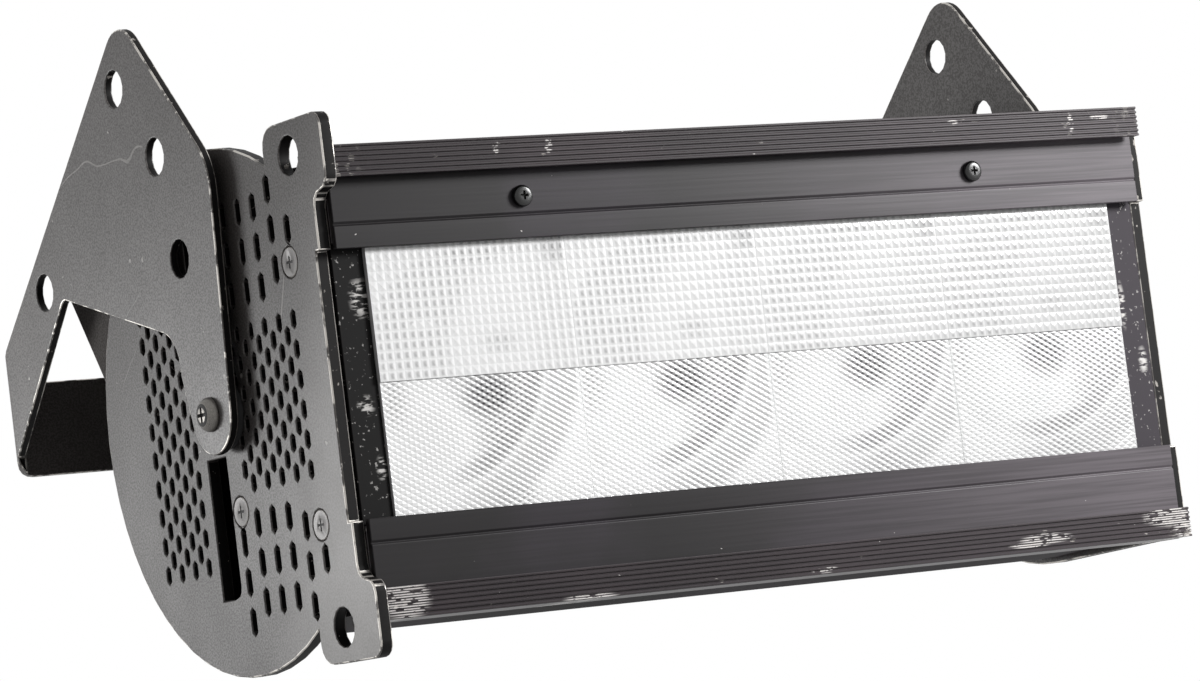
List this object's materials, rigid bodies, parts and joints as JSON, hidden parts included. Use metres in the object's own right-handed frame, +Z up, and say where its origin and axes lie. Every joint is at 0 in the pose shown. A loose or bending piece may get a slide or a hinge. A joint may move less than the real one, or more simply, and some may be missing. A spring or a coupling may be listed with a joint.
{
  "type": "linear LED wash light",
  "caption": "Linear wash light: prism lens window between ribbed rails, slotted end plates, and a bent yoke with bolt holes that tilts on side pivots.",
  "frame": {"origin": "on the standing plane, below the middle of the fixture's box", "axes": "+X along the window to the end without ears, +Y backwards from the lens to the yoke's cross-bar, +Z up"},
  "size_m": [0.3542, 0.234, 0.2226],
  "materials": {
    "grey_coat": "satin grey powder coat on aluminium plate, worn bright along its edges",
    "black_anodised": "black anodised extrusion, scuffed at its ends",
    "black_steel_strip": "black coated steel strip",
    "black_trim": "black moulded plastic, scuffed",
    "clear_acrylic": "clear acrylic with moulded prisms",
    "metallised": "vacuum-metallised plastic",
    "led_phosphor": "phosphor under silicone",
    "white_board": "white solder mask on an aluminium core",
    "bare_aluminium": "bare extrusion",
    "board_laminate": "green board laminate",
    "black_plastic": "moulded black plastic",
    "display_glass": "dark clear window",
    "silicone": "grey silicone",
    "zinc_steel": "bright zinc plate",
    "countersunk_steel": "steel, coated over with the plate",
    "black_screw": "blackened steel",
    "nylon": "black nylon"
  },
  "bodies": {
    "head": {"bezel_screw_left": "black_screw", "bezel_screw_right": "black_screw", "bottom_bezel": "black_steel_strip", "bottom_rail": "black_anodised", "control_board": "board_laminate", "data_inlet": "black_plastic", "data_outlet": "black_plastic", "display_window": "display_glass", "driver_board": "board_laminate", "drum_housing": "black_anodised", "heat_sink": "bare_aluminium", "inner_chassis": "grey_coat", "led_board": "white_board", "led_emitter_1": "led_phosphor", "led_emitter_2": "led_phosphor", "led_emitter_3": "led_phosphor", "led_emitter_4": "led_phosphor", "left_end_plate": "grey_coat", "left_fan_frame": "black_plastic", "left_friction_washer": "nylon", "left_pivot_nut": "zinc_steel", "left_pivot_screw": "zinc_steel", "left_screw_front_lower": "countersunk_steel", "left_screw_front_upper": "countersunk_steel", "left_screw_rear_lower": "countersunk_steel", "left_screw_rear_upper": "countersunk_steel", "lens_cell_1": "clear_acrylic", "lens_cell_2": "clear_acrylic", "lens_cell_3": "clear_acrylic", "lens_cell_4": "clear_acrylic", "power_inlet": "black_plastic", "power_outlet": "black_plastic", "power_supply": "black_plastic", "rear_panel": "grey_coat", "reflector_1": "metallised", "reflector_2": "metallised", "reflector_3": "metallised", "reflector_4": "metallised", "right_end_plate": "grey_coat", "right_fan_frame": "black_plastic", "right_friction_washer": "nylon", "right_pivot_nut": "zinc_steel", "right_pivot_screw": "zinc_steel", "right_screw_front_lower": "countersunk_steel", "right_screw_front_upper": "countersunk_steel", "right_screw_rear_lower": "countersunk_steel", "right_screw_rear_upper": "countersunk_steel", "side_trim_left": "black_trim", "side_trim_right": "black_trim", "top_bezel": "black_steel_strip", "top_rail": "black_anodised", "wiring_box": "grey_coat"},
    "yoke": {"yoke_bracket": "grey_coat"},
    "left_fan_rotor": {"left_fan_rotor": "black_plastic"},
    "right_fan_rotor": {"right_fan_rotor": "black_plastic"},
    "wing_screw": {"wing_screw": "black_screw"},
    "menu_button_1": {"menu_button_1": "silicone"},
    "menu_button_2": {"menu_button_2": "silicone"},
    "menu_button_3": {"menu_button_3": "silicone"},
    "menu_button_4": {"menu_button_4": "silicone"}
  },
  "joints": [
    {"name": "yoke_tilt", "type": "hinge", "parent": "head", "child": "yoke", "pos_m": [0, -0.034, 0.0875], "axis": [1, 0, 0], "range_deg": [-30, 210]},
    {"name": "left_fan_spin", "type": "hinge", "parent": "head", "child": "left_fan_rotor", "pos_m": [-0.1575, -0.0655, 0.0875], "axis": [1, 0, 0], "continuous": true},
    {"name": "right_fan_spin", "type": "hinge", "parent": "head", "child": "right_fan_rotor", "pos_m": [0.1575, -0.0655, 0.0875], "axis": [1, 0, 0], "continuous": true},
    {"name": "wing_screw_turn", "type": "hinge", "parent": "head", "child": "wing_screw", "pos_m": [0.165, -0.0937, 0.0695], "axis": [1, 0, 0], "continuous": true},
    {"name": "menu_button_1_press", "type": "slide", "parent": "head", "child": "menu_button_1", "axis": [0, -1, 0], "range_m": [0, 0.001], "stiffness_N_per_m": 600, "springref_m": -0.0005},
    {"name": "menu_button_2_press", "type": "slide", "parent": "head", "child": "menu_button_2", "axis": [0, -1, 0], "range_m": [0, 0.001], "stiffness_N_per_m": 600, "springref_m": -0.0005},
    {"name": "menu_button_3_press", "type": "slide", "parent": "head", "child": "menu_button_3", "axis": [0, -1, 0], "range_m": [0, 0.001], "stiffness_N_per_m": 600, "springref_m": -0.0005},
    {"name": "menu_button_4_press", "type": "slide", "parent": "head", "child": "menu_button_4", "axis": [0, -1, 0], "range_m": [0, 0.001], "stiffness_N_per_m": 600, "springref_m": -0.0005}
  ]
}
